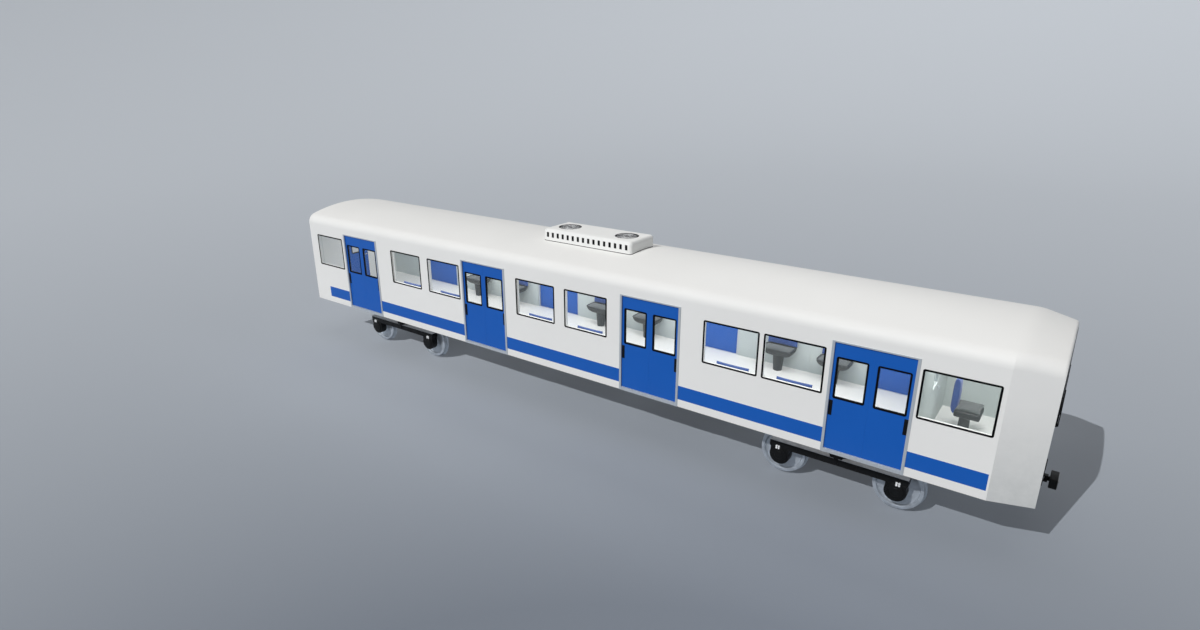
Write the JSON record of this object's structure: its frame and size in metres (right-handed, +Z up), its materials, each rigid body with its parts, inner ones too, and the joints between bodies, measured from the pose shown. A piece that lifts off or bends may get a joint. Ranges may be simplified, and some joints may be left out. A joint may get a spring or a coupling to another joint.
{
  "type": "metro car",
  "caption": "Powered metro driving car with pocket sliding doors, an arched roof with a ventilation unit, a tapered cab and turning bogies.",
  "frame": {"origin": "Middle of the car in plan, at the level of the wheel flanges' lowest points; the rail heads are 28 mm above it", "axes": "+X forward towards the cab, +Y left, +Z up"},
  "size_m": [18.256, 2.824, 3.8748],
  "materials": {
    "body_paint": "satin off-white coach paint, lightly dusty along its edges",
    "portal_grey": "satin anodised light grey",
    "door_blue": "satin blue coach paint",
    "dark_glass": "gloss black laminated screen",
    "side_glass": "clear toughened glass, slightly rough",
    "underframe": "dark grey underseal with road dust",
    "lining": "satin grey-green laminate lining",
    "unit_paint": "satin off-white sheet metal",
    "black_plastic": "matt black moulded plastic",
    "bogie_black": "black chassis paint, dusty on top",
    "rubber": "matt black rubber bellows",
    "case_grey": "dark grey painted steel",
    "wheel_steel": "turned wheel steel, bright on the tread",
    "seat_grey": "dark grey moulded shell",
    "seat_blue": "blue woven moquette",
    "lamp_clear": "clear moulded lens",
    "lamp_red": "red moulded lens"
  },
  "bodies": {
    "car_body": {"floor": "underframe", "bolsters": "underframe", "right_side_panels": "body_paint", "left_side_panels": "body_paint", "right_door_portals": "portal_grey", "left_door_portals": "portal_grey", "cantrails": "body_paint", "roof": "body_paint", "cab_front": "body_paint", "windscreen": "dark_glass", "side_glass": "side_glass", "rear_end_wall": "body_paint", "cab_bulkhead": "lining", "roof_unit": "unit_paint", "coupler_pockets": "bogie_black", "seat_frames": "seat_grey", "seat_pads": "seat_blue", "driver_seat": "seat_grey", "driver_desk": "seat_grey", "underfloor_cases": "case_grey", "head_lights": "lamp_clear", "tail_lights": "lamp_red"},
    "rear_end_door": {"rear_end_door": "door_blue"},
    "cab_door": {"cab_door": "lining"},
    "rear_roof_fan": {"rear_roof_fan": "black_plastic"},
    "front_roof_fan": {"front_roof_fan": "black_plastic"},
    "front_coupler": {"front_coupler": "bogie_black"},
    "rear_coupler": {"rear_coupler": "bogie_black"},
    "front_bogie": {"front_bogie_frame": "bogie_black", "front_axle_boxes": "bogie_black", "front_air_springs": "rubber", "front_motors": "case_grey"},
    "front_bogie_lead_axle": {"front_bogie_lead_axle": "wheel_steel"},
    "front_bogie_trail_axle": {"front_bogie_trail_axle": "wheel_steel"},
    "rear_bogie": {"rear_bogie_frame": "bogie_black", "rear_axle_boxes": "bogie_black", "rear_air_springs": "rubber", "rear_motors": "case_grey"},
    "rear_bogie_lead_axle": {"rear_bogie_lead_axle": "wheel_steel"},
    "rear_bogie_trail_axle": {"rear_bogie_trail_axle": "wheel_steel"},
    "right_leaf_a_front": {"right_leaf_a_front": "door_blue"},
    "right_leaf_a_rear": {"right_leaf_a_rear": "door_blue"},
    "right_leaf_b_front": {"right_leaf_b_front": "door_blue"},
    "right_leaf_b_rear": {"right_leaf_b_rear": "door_blue"},
    "right_leaf_c_front": {"right_leaf_c_front": "door_blue"},
    "right_leaf_c_rear": {"right_leaf_c_rear": "door_blue"},
    "right_leaf_d_front": {"right_leaf_d_front": "door_blue"},
    "right_leaf_d_rear": {"right_leaf_d_rear": "door_blue"},
    "left_leaf_a_front": {"left_leaf_a_front": "door_blue"},
    "left_leaf_a_rear": {"left_leaf_a_rear": "door_blue"},
    "left_leaf_b_front": {"left_leaf_b_front": "door_blue"},
    "left_leaf_b_rear": {"left_leaf_b_rear": "door_blue"},
    "left_leaf_c_front": {"left_leaf_c_front": "door_blue"},
    "left_leaf_c_rear": {"left_leaf_c_rear": "door_blue"},
    "left_leaf_d_front": {"left_leaf_d_front": "door_blue"},
    "left_leaf_d_rear": {"left_leaf_d_rear": "door_blue"}
  },
  "joints": [
    {"name": "front_bogie_turn", "type": "hinge", "parent": "car_body", "child": "front_bogie", "pos_m": [5.875, 0, 0.674], "axis": [0, 0, 1], "range_deg": [-4, 4]},
    {"name": "front_bogie_lead_axle_roll", "type": "hinge", "parent": "front_bogie", "child": "front_bogie_lead_axle", "pos_m": [6.91, 0, 0.458], "axis": [0, 1, 0], "continuous": true},
    {"name": "front_bogie_trail_axle_roll", "type": "hinge", "parent": "front_bogie", "child": "front_bogie_trail_axle", "pos_m": [4.84, 0, 0.458], "axis": [0, 1, 0], "continuous": true},
    {"name": "rear_bogie_turn", "type": "hinge", "parent": "car_body", "child": "rear_bogie", "pos_m": [-5.875, 0, 0.674], "axis": [0, 0, 1], "range_deg": [-4, 4]},
    {"name": "rear_bogie_lead_axle_roll", "type": "hinge", "parent": "rear_bogie", "child": "rear_bogie_lead_axle", "pos_m": [-4.84, 0, 0.458], "axis": [0, 1, 0], "continuous": true},
    {"name": "rear_bogie_trail_axle_roll", "type": "hinge", "parent": "rear_bogie", "child": "rear_bogie_trail_axle", "pos_m": [-6.91, 0, 0.458], "axis": [0, 1, 0], "continuous": true},
    {"name": "rear_fan_spin", "type": "hinge", "parent": "car_body", "child": "rear_roof_fan", "pos_m": [-0.822, 0, 3.835], "axis": [0, 0, 1], "continuous": true},
    {"name": "front_fan_spin", "type": "hinge", "parent": "car_body", "child": "front_roof_fan", "pos_m": [0.714, 0, 3.835], "axis": [0, 0, 1], "continuous": true},
    {"name": "front_coupler_swing", "type": "hinge", "parent": "car_body", "child": "front_coupler", "pos_m": [8.954, 0, 0.973], "axis": [0, 0, 1], "range_deg": [-12, 12]},
    {"name": "rear_coupler_swing", "type": "hinge", "parent": "car_body", "child": "rear_coupler", "pos_m": [-8.954, 0, 0.973], "axis": [0, 0, 1], "range_deg": [-12, 12]},
    {"name": "rear_end_door_swing", "type": "hinge", "parent": "car_body", "child": "rear_end_door", "pos_m": [-8.82, -0.3175, 1.5], "axis": [0, 0, -1], "range_deg": [0, 90]},
    {"name": "cab_door_swing", "type": "hinge", "parent": "car_body", "child": "cab_door", "pos_m": [7.062, -0.3175, 1.5], "axis": [0, 0, 1], "range_deg": [0, 90]},
    {"name": "right_leaf_a_front_slide", "type": "slide", "parent": "car_body", "child": "right_leaf_a_front", "axis": [1, 0, 0], "range_m": [0, 0.6]},
    {"name": "right_leaf_a_rear_slide", "type": "slide", "parent": "car_body", "child": "right_leaf_a_rear", "axis": [-1, 0, 0], "range_m": [0, 0.6]},
    {"name": "right_leaf_b_front_slide", "type": "slide", "parent": "car_body", "child": "right_leaf_b_front", "axis": [1, 0, 0], "range_m": [0, 0.6]},
    {"name": "right_leaf_b_rear_slide", "type": "slide", "parent": "car_body", "child": "right_leaf_b_rear", "axis": [-1, 0, 0], "range_m": [0, 0.6]},
    {"name": "right_leaf_c_front_slide", "type": "slide", "parent": "car_body", "child": "right_leaf_c_front", "axis": [1, 0, 0], "range_m": [0, 0.6]},
    {"name": "right_leaf_c_rear_slide", "type": "slide", "parent": "car_body", "child": "right_leaf_c_rear", "axis": [-1, 0, 0], "range_m": [0, 0.6]},
    {"name": "right_leaf_d_front_slide", "type": "slide", "parent": "car_body", "child": "right_leaf_d_front", "axis": [1, 0, 0], "range_m": [0, 0.6]},
    {"name": "right_leaf_d_rear_slide", "type": "slide", "parent": "car_body", "child": "right_leaf_d_rear", "axis": [-1, 0, 0], "range_m": [0, 0.6]},
    {"name": "left_leaf_a_front_slide", "type": "slide", "parent": "car_body", "child": "left_leaf_a_front", "axis": [1, 0, 0], "range_m": [0, 0.6]},
    {"name": "left_leaf_a_rear_slide", "type": "slide", "parent": "car_body", "child": "left_leaf_a_rear", "axis": [-1, 0, 0], "range_m": [0, 0.6]},
    {"name": "left_leaf_b_front_slide", "type": "slide", "parent": "car_body", "child": "left_leaf_b_front", "axis": [1, 0, 0], "range_m": [0, 0.6]},
    {"name": "left_leaf_b_rear_slide", "type": "slide", "parent": "car_body", "child": "left_leaf_b_rear", "axis": [-1, 0, 0], "range_m": [0, 0.6]},
    {"name": "left_leaf_c_front_slide", "type": "slide", "parent": "car_body", "child": "left_leaf_c_front", "axis": [1, 0, 0], "range_m": [0, 0.6]},
    {"name": "left_leaf_c_rear_slide", "type": "slide", "parent": "car_body", "child": "left_leaf_c_rear", "axis": [-1, 0, 0], "range_m": [0, 0.6]},
    {"name": "left_leaf_d_front_slide", "type": "slide", "parent": "car_body", "child": "left_leaf_d_front", "axis": [1, 0, 0], "range_m": [0, 0.6]},
    {"name": "left_leaf_d_rear_slide", "type": "slide", "parent": "car_body", "child": "left_leaf_d_rear", "axis": [-1, 0, 0], "range_m": [0, 0.6]}
  ],
  "couplings": [
    {"joint": "right_leaf_a_rear_slide", "follows": "right_leaf_a_front_slide", "ratio": 1},
    {"joint": "right_leaf_b_rear_slide", "follows": "right_leaf_b_front_slide", "ratio": 1},
    {"joint": "right_leaf_c_rear_slide", "follows": "right_leaf_c_front_slide", "ratio": 1},
    {"joint": "right_leaf_d_rear_slide", "follows": "right_leaf_d_front_slide", "ratio": 1},
    {"joint": "left_leaf_a_rear_slide", "follows": "left_leaf_a_front_slide", "ratio": 1},
    {"joint": "left_leaf_b_rear_slide", "follows": "left_leaf_b_front_slide", "ratio": 1},
    {"joint": "left_leaf_c_rear_slide", "follows": "left_leaf_c_front_slide", "ratio": 1},
    {"joint": "left_leaf_d_rear_slide", "follows": "left_leaf_d_front_slide", "ratio": 1}
  ]
}
